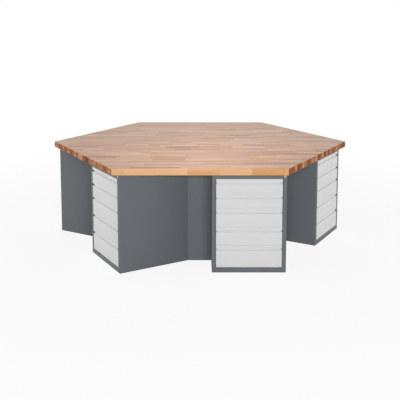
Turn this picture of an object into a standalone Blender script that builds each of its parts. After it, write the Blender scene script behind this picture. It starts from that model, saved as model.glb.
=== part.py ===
"""Six-sided group workbench: a hexagonal beech worktop on six steel drawer cabinets.

Metres, +Z up. The origin is on the floor, under the middle of the worktop.
Every cabinet is drawn once, facing -Y, and stands at each side of the hexagon.
"""

import math

import bmesh
import bpy
from mathutils import Matrix, Vector

# Worktop
BENCH_HEIGHT = 0.840
TOP_THICKNESS = 0.050
TOP_EDGE_CHAMFER = 0.002

# Where each cabinet stands under its side of the worktop, and the gap between its left wall
# and the left neighbour's rear corner, which a filler panel closes
FRONT_OVERHANG = 0.061
CORNER_OFFSET = 0.003
REAR_GAP = 0.1917

# Cabinet housing, folded from one sheet with its front frame
CABINET_WIDTH = 0.580
CABINET_DEPTH = 0.605
HOUSING_SHEET = 0.0015
STILE_WIDTH = 0.030
TOP_RAIL_HEIGHT = 0.040
PLINTH_HEIGHT = 0.040
FRAME_RETURN = 0.014

# Drawer fronts, from the top one down, in units of height, and the gaps between and round them
DRAWER_HEIGHT_UNITS = (4, 4, 5, 5, 6)
FRONT_GAP = 0.0015
FRAME_GAP = 0.003
FRONT_DEPTH = 0.022
FRONT_SHEET = 0.0012
FRONT_LIP = 0.015

# Grip recess that runs along each front, under its upper band
GRIP_BAND = 0.023
GRIP_MOUTH = 0.016
GRIP_DEPTH = 0.017
GRIP_BACK_HEIGHT = 0.005

# Drawer trays
TRAY_BACK_GAP = 0.039
TRAY_SHEET = 0.0012
TRAY_RIM = 0.008
TRAY_RIM_DROP = 0.030
TRAY_FLOOR_RISE = 0.012

# Runners: a slide on each side of a tray, in a channel on the housing's posts
RUNNER_SPACE = 0.0125
SLIDE_WIDTH = 0.0085
SLIDE_HEIGHT = 0.014
SLIDE_RISE = 0.010
RUNNER_START = 0.030
CHANNEL_SHEET = 0.0015
CHANNEL_BACK_GAP = 0.015
CHANNEL_SIDE_GAP = 0.0008
POST_WIDTH = 0.030
POST_SHEET = 0.0015
FRONT_POST_PLACE = 0.060
REAR_POST_BACK_GAP = 0.075
POST_END_GAP = 0.010

# Central lock in the top corner of the frame
LOCK_SIDE_PLACE = 0.015
LOCK_DROP = 0.022
LOCK_RING_RADIUS = 0.010
LOCK_RING_HEIGHT = 0.0015
LOCK_SLEEVE_RADIUS = 0.008
LOCK_SLEEVE_LENGTH = 0.0204
LOCK_PLUG_RADIUS = 0.006
KEY_SLOT_LENGTH = 0.007
KEY_SLOT_WIDTH = 0.0018
KEY_SLOT_DEPTH = 0.008
CRANK_THICKNESS = 0.0025
CRANK_HUB_RADIUS = 0.0075
CRANK_EDGE = 0.0035
CRANK_PIN_RADIUS = 0.002
CRANK_PIN_LENGTH = 0.0036
BAR_NOTCH_CLEARANCE = 0.0006

# Locking bar behind the frame's right stile, which lifts its hooks before the trays' lugs
LOCK_LIFT = 0.012
BAR_WIDTH = 0.012
BAR_THICKNESS = 0.003
BAR_STILE_GAP = 0.002
BAR_FRONT_PLACE = 0.024
BAR_HEAD_GAP = 0.0015
BAR_FOOT_RISE = 0.020
HOOK_REACH = 0.010
HOOK_HEIGHT = 0.008
HOOK_SLIDE_GAP = 0.006
LUG_HOOK_GAP = 0.003
LUG_HEIGHT = 0.010
LUG_THICKNESS = 0.003
GUIDE_WALL = 0.002
GUIDE_HEIGHT = 0.015
GUIDE_HOOK_GAP = 0.030
GUIDED_DRAWERS = (1, 4)

# Filler panels that close the gap between two cabinets
FILLER_SHEET = 0.0015
FILLER_FLANGE = 0.025

# Fits
SEAT_GAP = 0.0003
WELD_OVERLAP = 0.0002
CUT_OVERRUN = 0.002
MERGE_DISTANCE = 0.00001

# Segments of the round pieces
LOCK_SEGMENTS = 16
PIN_SEGMENTS = 8
CRANK_ARC_STEPS = 4

SIDES = 6
QUARTER_TURN = math.radians(90)
SIDE_TURN = math.radians(360 / SIDES)

# Sizes that follow from the ones above
slant = math.cos(SIDE_TURN / 2)
side_length = (REAR_GAP + CABINET_WIDTH + CORNER_OFFSET / 2
               + slant * (FRONT_OVERHANG + CABINET_DEPTH))
apothem = side_length * slant
cabinet_height = BENCH_HEIGHT - TOP_THICKNESS - SEAT_GAP
half_width = CABINET_WIDTH / 2
inner_half_width = half_width - HOUSING_SHEET
opening_half_width = half_width - STILE_WIDTH
opening_height = cabinet_height - TOP_RAIL_HEIGHT - PLINTH_HEIGHT
height_unit = (opening_height - 2 * FRAME_GAP + FRONT_GAP) / sum(DRAWER_HEIGHT_UNITS)
front_half_width = opening_half_width - FRAME_GAP
tray_half_width = opening_half_width - RUNNER_SPACE
cabinet_middle = side_length / 2 - CORNER_OFFSET - half_width
face_place = FRONT_OVERHANG - apothem
lock_across = half_width - LOCK_SIDE_PLACE
lock_height = cabinet_height - LOCK_DROP
crank_radius = LOCK_LIFT / math.sqrt(2)
tray_end = CABINET_DEPTH - TRAY_BACK_GAP
channel_length = CABINET_DEPTH - CHANNEL_BACK_GAP - RUNNER_START
rear_post_place = CABINET_DEPTH - REAR_POST_BACK_GAP - POST_WIDTH
slide_bottom = TRAY_FLOOR_RISE + SLIDE_RISE
hook_bottom = slide_bottom + SLIDE_HEIGHT + HOOK_SLIDE_GAP
lug_bottom = hook_bottom + HOOK_HEIGHT + LUG_HOOK_GAP
bar_left = opening_half_width + BAR_STILE_GAP
bar_back = BAR_FRONT_PLACE + BAR_THICKNESS

# Swaps an outline's plane: its first axis runs back, its second up, its depth across
ACROSS = Matrix(((0, 0, 1, 0), (1, 0, 0, 0), (0, 1, 0, 0), (0, 0, 0, 1)))
# An outline's first axis runs across, its second up, its depth forward
FORWARD = Matrix.Rotation(QUARTER_TURN, 4, "X")


def clear_scene():
    """Remove what the scene holds."""
    for item in list(bpy.data.objects):
        bpy.data.objects.remove(item, do_unlink=True)


def new_collection(name):
    """Add a collection to the scene."""
    collection = bpy.data.collections.new(name)
    bpy.context.scene.collection.children.link(collection)
    return collection


clear_scene()
PARTS = new_collection("hexagonal_workbench")
CUTTERS = new_collection("cutters")


def finish(name, colour, roughness, metallic):
    """Make a plain material for one kind of piece."""
    material = bpy.data.materials.new(name)
    material.use_nodes = True
    shader = material.node_tree.nodes["Principled BSDF"]
    shader.inputs["Base Color"].default_value = (*colour, 1)
    shader.inputs["Roughness"].default_value = roughness
    shader.inputs["Metallic"].default_value = metallic
    return material


beech = finish("oiled_beech", (0.60, 0.40, 0.26), 0.5, 0)
slate_steel = finish("slate_grey_steel", (0.13, 0.145, 0.155), 0.5, 0)
light_steel = finish("light_grey_steel", (0.67, 0.67, 0.68), 0.45, 0)
chrome = finish("chrome", (0.75, 0.75, 0.75), 0.2, 1)
zinc = finish("zinc_plated_steel", (0.55, 0.55, 0.53), 0.35, 1)


def mesh_from(work, name):
    """Turn the working mesh into a mesh and free it."""
    mesh = bpy.data.meshes.new(name)
    work.to_mesh(mesh)
    work.free()
    return mesh


def helper(name, mesh):
    """Place a mesh among the cutters, where a modifier can use it."""
    item = bpy.data.objects.new(name, mesh)
    item.hide_render = True
    item.display_type = "WIRE"
    CUTTERS.objects.link(item)
    return item


def baked(item, *tools):
    """Return the item's mesh as its modifiers leave it, and remove the item and its tools."""
    graph = bpy.context.evaluated_depsgraph_get()
    mesh = bpy.data.meshes.new_from_object(item.evaluated_get(graph))
    for used in (item, *tools):
        bpy.data.objects.remove(used, do_unlink=True)
    return mesh


def add_box(work, low, high):
    """Add a box between two corners to a working mesh."""
    middle = (Vector(low) + Vector(high)) / 2
    size = Vector(high) - Vector(low)
    place = Matrix.Translation(middle) @ Matrix.Diagonal((*size, 1))
    bmesh.ops.create_cube(work, size=1, matrix=place)


def box_mesh(name, *corners):
    """Make a mesh of one or more boxes, each from its low and high corner."""
    work = bmesh.new()
    for low, high in corners:
        add_box(work, low, high)
    return mesh_from(work, name)


def outline_mesh(name, points, depth, place):
    """Fill a flat outline, give it depth to both sides of its plane, and place it."""
    curve = bpy.data.curves.new(name, "CURVE")
    curve.dimensions = "2D"
    curve.fill_mode = "BOTH"
    curve.extrude = depth / 2
    spline = curve.splines.new("POLY")
    spline.points.add(len(points) - 1)
    for point, (first, second) in zip(spline.points, points):
        point.co = (first, second, 0, 1)
    spline.use_cyclic_u = True
    mesh = baked(helper(name, curve))
    work = bmesh.new()
    work.from_mesh(mesh)
    bmesh.ops.remove_doubles(work, verts=work.verts, dist=MERGE_DISTANCE)
    bmesh.ops.dissolve_limit(work, angle_limit=math.radians(1), verts=work.verts, edges=work.edges)
    bmesh.ops.transform(work, matrix=place, verts=work.verts)
    bmesh.ops.recalc_face_normals(work, faces=work.faces)
    work.to_mesh(mesh)
    work.free()
    return mesh


def rod_mesh(name, radius, start, end, segments):
    """Make a round rod along Y between two places."""
    work = bmesh.new()
    middle = (start + end) / 2
    place = Matrix.Translation((0, middle, 0)) @ FORWARD
    bmesh.ops.create_cone(work, cap_ends=True, segments=segments, radius1=radius, radius2=radius,
                          depth=end - start, matrix=place)
    return mesh_from(work, name)


def thicken(item, thickness):
    """Give an open surface its sheet thickness on its inner side."""
    solidify = item.modifiers.new("sheet", "SOLIDIFY")
    solidify.thickness = thickness
    solidify.offset = -1
    solidify.use_even_offset = True


def combine(item, tool, operation):
    """Join a tool to an item, or cut it away."""
    boolean = item.modifiers.new(operation.lower(), "BOOLEAN")
    boolean.operation = operation
    boolean.solver = "EXACT"
    boolean.object = tool


def mirrored(item):
    """Repeat an item on the cabinet's other side."""
    mirror = item.modifiers.new("other_side", "MIRROR")
    mirror.use_axis[0] = True
    mirror.use_mirror_merge = False
    mirror.merge_threshold = MERGE_DISTANCE


def folded_sheet(name, points, length, thickness, place):
    """Fold a strip along a line of points; its thickness lies on the line's right side."""
    work = bmesh.new()
    row = [work.verts.new((first, second, 0)) for first, second in points]
    edges = [work.edges.new(pair) for pair in zip(row, row[1:])]
    drawn = bmesh.ops.extrude_edge_only(work, edges=edges)
    top = [part for part in drawn["geom"] if isinstance(part, bmesh.types.BMVert)]
    bmesh.ops.translate(work, vec=(0, 0, length), verts=top)
    bmesh.ops.transform(work, matrix=place, verts=work.verts)
    item = helper(name, mesh_from(work, name))
    thicken(item, thickness)
    return item


def face_towards(work, direction):
    """Return the face of a working mesh that lies furthest in a direction."""
    return max(work.faces, key=lambda face: face.calc_center_median().dot(Vector(direction)))


def drawer_floors():
    """Give each drawer's pitch and the height of the bottom of its place, from the top drawer."""
    places = []
    level = PLINTH_HEIGHT + opening_height - FRAME_GAP + FRONT_GAP / 2
    for units in DRAWER_HEIGHT_UNITS:
        pitch = units * height_unit
        level -= pitch
        places.append((pitch, level))
    return places


def worktop_mesh():
    """Make the hexagonal slab, with a corner at each end of the X axis."""
    work = bmesh.new()
    middle = BENCH_HEIGHT - TOP_THICKNESS / 2
    bmesh.ops.create_cone(work, cap_ends=True, segments=SIDES, radius1=side_length,
                          radius2=side_length, depth=TOP_THICKNESS)
    bmesh.ops.transform(work, matrix=Matrix.Rotation(QUARTER_TURN, 4, "Z"), verts=work.verts)
    bmesh.ops.translate(work, vec=(0, 0, middle), verts=work.verts)
    return mesh_from(work, "worktop")


def housing_shell():
    """Fold the housing: sides, back, top, bottom, and the front frame with its inner returns."""
    work = bmesh.new()
    add_box(work, (-half_width, 0, 0), (half_width, CABINET_DEPTH, cabinet_height))
    front = face_towards(work, (0, -1, 0))
    bmesh.ops.inset_region(work, faces=[front], thickness=STILE_WIDTH, use_even_offset=True)
    for corner in front.verts:
        upper = corner.co.z > cabinet_height / 2
        corner.co.z = cabinet_height - TOP_RAIL_HEIGHT if upper else PLINTH_HEIGHT
    rim = list(front.edges)
    bmesh.ops.delete(work, geom=[front], context="FACES_ONLY")
    drawn = bmesh.ops.extrude_edge_only(work, edges=rim)
    inner = [part for part in drawn["geom"] if isinstance(part, bmesh.types.BMVert)]
    bmesh.ops.translate(work, vec=(0, FRAME_RETURN, 0), verts=inner)
    shell = helper("housing_shell", mesh_from(work, "housing_shell"))
    thicken(shell, HOUSING_SHEET)
    return shell


def posts():
    """Make the posts that carry the runner channels, two on each side wall."""
    wall = inner_half_width + WELD_OVERLAP
    web = opening_half_width
    low = PLINTH_HEIGHT + POST_END_GAP
    length = opening_height - 2 * POST_END_GAP
    items = []
    for start in (FRONT_POST_PLACE, rear_post_place):
        end = start + POST_WIDTH
        plan = ((wall, start), (web, start), (web, end), (wall, end))
        place = Matrix.Translation((0, 0, low))
        items.append(folded_sheet("post", plan, length, POST_SHEET, place))
        mirrored(items[-1])
    return items


def channels():
    """Make the folded channels that hold the slides of the five drawers."""
    web = opening_half_width + WELD_OVERLAP
    flange = tray_half_width + CHANNEL_SIDE_GAP
    items = []
    for _pitch, level in drawer_floors():
        low = level + FRONT_GAP / 2 + slide_bottom - SEAT_GAP - CHANNEL_SHEET
        high = low + SLIDE_HEIGHT + 2 * SEAT_GAP + 2 * CHANNEL_SHEET
        section = ((flange, high), (web, high), (web, low), (flange, low))
        place = Matrix.Translation((0, RUNNER_START + channel_length, 0)) @ FORWARD
        items.append(folded_sheet("channel", section, channel_length, CHANNEL_SHEET, place))
        mirrored(items[-1])
    return items


def bar_guides():
    """Make the two guides behind the right stile, and the slots that the bar slides in."""
    floors = drawer_floors()
    left = bar_left - SEAT_GAP
    right = bar_left + BAR_WIDTH + SEAT_GAP
    front = BAR_FRONT_PLACE - SEAT_GAP
    back = bar_back + SEAT_GAP
    blocks = []
    slots = []
    for drawer in GUIDED_DRAWERS:
        low = floors[drawer][1] + hook_bottom + HOOK_HEIGHT + LOCK_LIFT + GUIDE_HOOK_GAP
        high = low + GUIDE_HEIGHT
        blocks.append(((left - GUIDE_WALL, front - GUIDE_WALL, low),
                       (inner_half_width + WELD_OVERLAP, back + GUIDE_WALL, high)))
        slots.append(((left, front, low - CUT_OVERRUN), (right, back, high + CUT_OVERRUN)))
    return (helper("bar_guides", box_mesh("bar_guides", *blocks)),
            helper("bar_slots", box_mesh("bar_slots", *slots)))


def at_lock(name, mesh):
    """Place a piece of the lock in its corner of the housing."""
    mesh.transform(Matrix.Translation((lock_across, 0, lock_height)))
    return helper(name, mesh)


def housing_mesh():
    """Weld the housing together and bore it for the lock."""
    shell = housing_shell()
    guides, slots = bar_guides()
    combine(guides, slots, "DIFFERENCE")
    ring = at_lock("lock_ring", rod_mesh("lock_ring", LOCK_RING_RADIUS, -LOCK_RING_HEIGHT,
                                         WELD_OVERLAP, LOCK_SEGMENTS))
    sleeve = at_lock("lock_sleeve", rod_mesh("lock_sleeve", LOCK_SLEEVE_RADIUS, 0,
                                             LOCK_SLEEVE_LENGTH, LOCK_SEGMENTS))
    bore_radius = LOCK_PLUG_RADIUS + SEAT_GAP
    bore = at_lock("lock_bore", rod_mesh("lock_bore", bore_radius, -LOCK_RING_HEIGHT - CUT_OVERRUN,
                                         LOCK_SLEEVE_LENGTH + CUT_OVERRUN, LOCK_SEGMENTS))
    welded = [*posts(), *channels(), guides, ring, sleeve]
    for piece in welded:
        combine(shell, piece, "UNION")
    combine(shell, bore, "DIFFERENCE")
    return baked(shell, *welded, slots, bore)


def front_outline(height):
    """Give the drawer front's side view, with the grip recess under its band."""
    ceiling = height - GRIP_BAND
    return ((FRONT_DEPTH, 0), (0, 0), (0, ceiling - GRIP_MOUTH),
            (GRIP_DEPTH, ceiling - GRIP_BACK_HEIGHT), (GRIP_DEPTH, ceiling),
            (0, ceiling), (0, height), (FRONT_DEPTH, height))


def front_pan(height):
    """Fold the drawer front: face with its grip, closed ends, and a lip all round its back."""
    solid = outline_mesh("front", front_outline(height), 2 * front_half_width, ACROSS)
    work = bmesh.new()
    work.from_mesh(solid)
    back = face_towards(work, (0, 1, 0))
    bmesh.ops.inset_region(work, faces=[back], thickness=FRONT_LIP, use_even_offset=True)
    bmesh.ops.delete(work, geom=[back], context="FACES")
    work.to_mesh(solid)
    work.free()
    pan = helper("front", solid)
    thicken(pan, FRONT_SHEET)
    return pan


def tray(height):
    """Fold the open tray behind the front, with a rim turned inwards."""
    work = bmesh.new()
    start = FRONT_DEPTH - WELD_OVERLAP
    add_box(work, (-tray_half_width, start, TRAY_FLOOR_RISE),
            (tray_half_width, tray_end, height - TRAY_RIM_DROP))
    top = face_towards(work, (0, 0, 1))
    bmesh.ops.inset_region(work, faces=[top], thickness=TRAY_RIM, use_even_offset=True)
    bmesh.ops.delete(work, geom=[top], context="FACES")
    item = helper("tray", mesh_from(work, "tray"))
    thicken(item, TRAY_SHEET)
    return item


def drawer_mesh(pitch):
    """Make one drawer: front, tray, two slides, and the lug that the locking bar stops."""
    height = pitch - FRONT_GAP
    pan = front_pan(height)
    wall = tray_half_width - WELD_OVERLAP
    slide_end = tray_half_width + SLIDE_WIDTH
    slides = helper("slides", box_mesh("slides", (
        (wall, RUNNER_START, slide_bottom),
        (slide_end, tray_end, slide_bottom + SLIDE_HEIGHT))))
    mirrored(slides)
    lug_start = bar_back + SEAT_GAP
    lug = helper("lug", box_mesh("lug", (
        (wall, lug_start, lug_bottom),
        (slide_end, lug_start + LUG_THICKNESS, lug_bottom + LUG_HEIGHT))))
    tools = (tray(height), slides, lug)
    for piece in tools:
        combine(pan, piece, "UNION")
    return baked(pan, *tools)


def crank_outline():
    """Round the crank's two ends; at rest it points down and towards the drawers."""
    rest = math.radians(225)
    points = []
    for centre, turn in ((Vector((0, 0)), rest), (Vector((crank_radius, 0)), rest + math.pi)):
        middle = Matrix.Rotation(rest, 2) @ centre
        radius = CRANK_HUB_RADIUS if turn == rest else CRANK_PIN_RADIUS + CRANK_EDGE
        for step in range(CRANK_ARC_STEPS + 1):
            angle = turn + QUARTER_TURN + math.pi * step / CRANK_ARC_STEPS
            points.append((middle.x + radius * math.cos(angle),
                           middle.y + radius * math.sin(angle)))
    return points


def lock_mesh():
    """Make the lock's turning plug, with its key slot, crank and crank pin."""
    crank_start = LOCK_SLEEVE_LENGTH + SEAT_GAP
    crank_middle = crank_start + CRANK_THICKNESS / 2
    crank_end = crank_start + CRANK_THICKNESS
    plug = helper("plug", rod_mesh("plug", LOCK_PLUG_RADIUS, -LOCK_RING_HEIGHT,
                                   crank_middle, LOCK_SEGMENTS))
    slot = helper("key_slot", box_mesh("key_slot", (
        (-KEY_SLOT_WIDTH / 2, -LOCK_RING_HEIGHT - CUT_OVERRUN, -KEY_SLOT_LENGTH / 2),
        (KEY_SLOT_WIDTH / 2, KEY_SLOT_DEPTH - LOCK_RING_HEIGHT, KEY_SLOT_LENGTH / 2))))
    crank_place = Matrix.Translation((0, crank_middle, 0)) @ FORWARD
    crank = helper("crank", outline_mesh("crank", crank_outline(), CRANK_THICKNESS, crank_place))
    pin_mesh = rod_mesh("crank_pin", CRANK_PIN_RADIUS, crank_middle,
                        crank_end + CRANK_PIN_LENGTH, PIN_SEGMENTS)
    drop = -LOCK_LIFT / 2
    pin_mesh.transform(Matrix.Translation((drop, 0, drop)))
    pin = helper("crank_pin", pin_mesh)
    combine(plug, slot, "DIFFERENCE")
    combine(plug, crank, "UNION")
    combine(plug, pin, "UNION")
    return baked(plug, slot, crank, pin)


def locking_bar_mesh():
    """Cut the bar from flat plate, with a hook before each drawer's lug and a notch at its head."""
    head = cabinet_height - HOUSING_SHEET - BAR_HEAD_GAP - LOCK_LIFT
    foot = PLINTH_HEIGHT + BAR_FOOT_RISE
    right = bar_left + BAR_WIDTH
    hook_end = bar_left - BAR_STILE_GAP - HOOK_REACH
    outline = [(right, foot), (right, head), (bar_left, head)]
    for _pitch, level in drawer_floors():
        low = level + FRONT_GAP / 2 + hook_bottom
        high = low + HOOK_HEIGHT
        outline += [(bar_left, high), (hook_end, high), (hook_end, low), (bar_left, low)]
    outline.append((bar_left, foot))
    place = Matrix.Translation((0, BAR_FRONT_PLACE + BAR_THICKNESS / 2, 0)) @ FORWARD
    bar = helper("bar", outline_mesh("bar", outline, BAR_THICKNESS, place))
    pin_low = lock_height - LOCK_LIFT / 2 - CRANK_PIN_RADIUS - BAR_NOTCH_CLEARANCE
    pin_high = lock_height - LOCK_LIFT / 2 + CRANK_PIN_RADIUS + BAR_NOTCH_CLEARANCE
    notch_left = lock_across - crank_radius - CRANK_PIN_RADIUS - BAR_NOTCH_CLEARANCE
    notch = helper("notch", box_mesh("notch", (
        (notch_left, BAR_FRONT_PLACE - CUT_OVERRUN, pin_low),
        (right + CUT_OVERRUN, bar_back + CUT_OVERRUN, pin_high))))
    combine(bar, notch, "DIFFERENCE")
    return baked(bar, notch)


def filler_mesh():
    """Fold the panel from the left neighbour's rear corner to this cabinet's left wall."""
    turn = Matrix.Rotation(-SIDE_TURN, 2)
    corner = turn @ Vector((cabinet_middle + half_width, face_place + CABINET_DEPTH))
    along_back = turn @ Vector((-1, 0))
    off_back = turn @ Vector((0, 1))
    wall = cabinet_middle - half_width - SEAT_GAP
    start = corner + SEAT_GAP * off_back
    plan = ((wall, start.y + FILLER_FLANGE), (wall, start.y), start,
            start + FILLER_FLANGE * along_back)
    return baked(folded_sheet("filler", plan, cabinet_height, FILLER_SHEET, Matrix.Identity(4)))


def add_part(name, mesh, material, place, parent):
    """Add one piece of the bench, with its material, at its place."""
    item = bpy.data.objects.new(name, mesh)
    mesh.materials.clear()
    mesh.materials.append(material)
    item.location = place
    item.parent = parent
    PARTS.objects.link(item)
    return item


def build():
    """Build the worktop, and a cabinet with its filler panel at each side."""
    worktop = add_part("worktop", worktop_mesh(), beech, (0, 0, 0), None)
    chamfer = worktop.modifiers.new("edge", "BEVEL")
    chamfer.width = TOP_EDGE_CHAMFER
    chamfer.segments = 1

    housing = housing_mesh()
    lock = lock_mesh()
    locking_bar = locking_bar_mesh()
    filler = filler_mesh()
    floors = drawer_floors()
    drawers = {units: drawer_mesh(units * height_unit) for units in set(DRAWER_HEIGHT_UNITS)}

    for number in range(1, SIDES + 1):
        side = bpy.data.objects.new(f"side_{number}", None)
        side.rotation_euler.z = (number - 1) * SIDE_TURN
        PARTS.objects.link(side)
        stand = Vector((cabinet_middle, face_place, 0))
        prefix = f"cabinet_{number}"
        add_part(f"{prefix}_housing", housing, slate_steel, stand, side)
        add_part(f"filler_panel_{number}", filler, slate_steel, (0, 0, 0), side)
        add_part(f"{prefix}_locking_bar", locking_bar, zinc, stand, side)
        lock_place = stand + Vector((lock_across, 0, lock_height))
        add_part(f"{prefix}_lock", lock, chrome, lock_place, side)
        for index, (units, (_pitch, level)) in enumerate(zip(DRAWER_HEIGHT_UNITS, floors)):
            place = stand + Vector((0, 0, level + FRONT_GAP / 2))
            add_part(f"{prefix}_drawer_{index + 1}", drawers[units], light_steel, place, side)


build()
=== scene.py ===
"""Looks of the six-sided group workbench: laminated beech, powder-coated steel and chrome.

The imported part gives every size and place, in metres. Each piece of a cabinet is modelled
once, at the side that faces -Y, and copied round the bench to the other five sides.
"""

import logging
import math
from collections.abc import Callable, Iterator
from contextlib import contextmanager
from dataclasses import dataclass
from enum import Enum
from typing import Any, ClassVar

import bpy
from mathutils import Matrix, Vector


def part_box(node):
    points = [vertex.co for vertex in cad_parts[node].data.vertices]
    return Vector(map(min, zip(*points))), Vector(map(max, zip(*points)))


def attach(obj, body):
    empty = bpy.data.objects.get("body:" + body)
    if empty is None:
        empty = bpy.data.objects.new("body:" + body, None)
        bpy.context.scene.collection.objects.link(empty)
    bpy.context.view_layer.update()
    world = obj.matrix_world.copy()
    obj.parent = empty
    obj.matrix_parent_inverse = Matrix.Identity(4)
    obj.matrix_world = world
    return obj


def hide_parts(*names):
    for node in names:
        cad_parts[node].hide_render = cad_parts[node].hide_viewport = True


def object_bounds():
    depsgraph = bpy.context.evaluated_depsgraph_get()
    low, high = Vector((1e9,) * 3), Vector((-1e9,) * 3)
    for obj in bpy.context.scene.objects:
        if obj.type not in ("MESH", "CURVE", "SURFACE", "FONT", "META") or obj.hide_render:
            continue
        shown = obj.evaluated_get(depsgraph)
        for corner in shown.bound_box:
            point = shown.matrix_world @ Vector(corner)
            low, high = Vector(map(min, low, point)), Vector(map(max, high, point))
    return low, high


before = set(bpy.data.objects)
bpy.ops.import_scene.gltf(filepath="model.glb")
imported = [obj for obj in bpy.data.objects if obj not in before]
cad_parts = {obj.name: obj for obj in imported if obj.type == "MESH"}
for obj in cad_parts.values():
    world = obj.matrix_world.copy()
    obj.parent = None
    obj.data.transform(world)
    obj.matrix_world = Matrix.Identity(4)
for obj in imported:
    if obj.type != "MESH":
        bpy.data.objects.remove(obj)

CAD_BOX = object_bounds()
SIDES = 6
SIDE_TURN = math.tau / SIDES
DRAWERS = 5
ROOT_BODY = "bench"
# How far a cutting tool reaches past what it cuts
OVERRUN = 0.002
# How near to a place an edge counts as lying there
NEAR = 0.0005
BEVEL_ANGLE = math.radians(30)
SMOOTH_ANGLE = math.radians(35)
LEFT, RIGHT = Vector((-1, 0, 0)), Vector((1, 0, 0))
FRONT, BACK = Vector((0, -1, 0)), Vector((0, 1, 0))
DOWN, UP = Vector((0, 0, -1)), Vector((0, 0, 1))
# The sRGB standard's curve: straight up to its bend, and a power from there
SRGB_BEND, SRGB_SLOPE, SRGB_OFFSET, SRGB_POWER = 0.04045, 12.92, 0.055, 2.4
WHITE = (1, 1, 1, 1)
# The radians that a wave texture of scale 1 runs through in a metre
WAVE_TURN = 20

log = logging.getLogger("workbench")


class Slot(Enum):
    """Material slots of the part's record."""

    BEECH = "beech_top"
    SLATE = "slate_steel"
    LIGHT = "light_steel"
    ZINC = "zinc_steel"
    CHROME = "chrome"


class Select(Enum):
    """What an edit acts on, as the edit mode's vertex, edge and face switches."""

    EDGES = (False, True, False)
    FACES = (False, False, True)


def linear(colour: str) -> tuple[float, float, float, float]:
    """Turn an sRGB hex colour into the linear colour that a shader takes.

    Args:
        colour: Six hex digits after a hash sign.

    Returns:
        Red, green, blue and a full alpha.
    """
    values = [int(colour[place:place + 2], 16) / 255 for place in (1, 3, 5)]
    red, green, blue = [
        value / SRGB_SLOPE if value <= SRGB_BEND
        else ((value + SRGB_OFFSET) / (1 + SRGB_OFFSET)) ** SRGB_POWER for value in values]
    return (red, green, blue, 1.0)


def add_node(tree: bpy.types.NodeTree, kind: str, settings: dict[str, Any] | None = None,
             inputs: dict[str | int, Any] | None = None,
             stops: dict[float, str] | None = None) -> bpy.types.Node:
    """Add a node with its settings, fill or link its sockets, and set a ramp's colours.

    Sockets that share a name go by number. A mix has its share at 0, and two numbers at 2 and 3
    or two colours at 6 and 7. A map range turns 1 and 2 into 3 and 4, each 0 and 1 unless given.

    Args:
        tree: The node tree that takes the node.
        kind: The node's type name, after ShaderNode.
        settings: Values of the node's own properties.
        inputs: Values of its sockets by name or number, or the output socket to link.
        stops: The hex colour at each place along a colour ramp, from 0 up.

    Returns:
        The new node.
    """
    node = tree.nodes.new(f"ShaderNode{kind}")
    for name, value in (settings or {}).items():
        setattr(node, name, value)
    for name, value in (inputs or {}).items():
        if isinstance(value, bpy.types.NodeSocket):
            tree.links.new(value, node.inputs[name])
        else:
            node.inputs[name].default_value = value
    for count, (place, colour) in enumerate((stops or {}).items()):
        elements = node.color_ramp.elements
        element = elements[count] if count < 2 else elements.new(place)
        element.position = place
        element.color = linear(colour)
    return node


def new_material(name: str) -> tuple[bpy.types.Material, bpy.types.NodeTree, bpy.types.Node]:
    """Start a material.

    Args:
        name: The finish's plain name.

    Returns:
        The material, its node tree and its Principled shader.
    """
    material = bpy.data.materials.new(name)
    material.use_nodes = True
    tree = material.node_tree
    return material, tree, tree.nodes["Principled BSDF"]


def link_coat(tree: bpy.types.NodeTree, shader: bpy.types.Node, shares: tuple[Any, Any],
              tones: tuple[str, str], roughness: tuple[float, float]) -> None:
    """Spread a coat's colour and roughness between two values each, and link them.

    Args:
        tree: The material's node tree.
        shader: Its Principled shader.
        shares: The output sockets that place the colour and the roughness between their values.
        tones: The two hex colours.
        roughness: The least and the greatest roughness.
    """
    colour = add_node(tree, "Mix", {"data_type": "RGBA"},
                      {0: shares[0], 6: linear(tones[0]), 7: linear(tones[1])})
    gloss = add_node(tree, "MapRange", inputs={0: shares[1], 3: roughness[0], 4: roughness[1]})
    tree.links.new(colour.outputs[2], shader.inputs["Base Color"])
    tree.links.new(gloss.outputs[0], shader.inputs["Roughness"])


@dataclass(frozen=True)
class Streak:
    """Fine marks along the staves: their length, width and detail, and how they tint the wood.

    Noise between the two limits turns into a tint between the two tints.
    """

    length: float
    width: float
    detail: float
    limits: tuple[float, float]
    tints: tuple[float, float]


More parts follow.
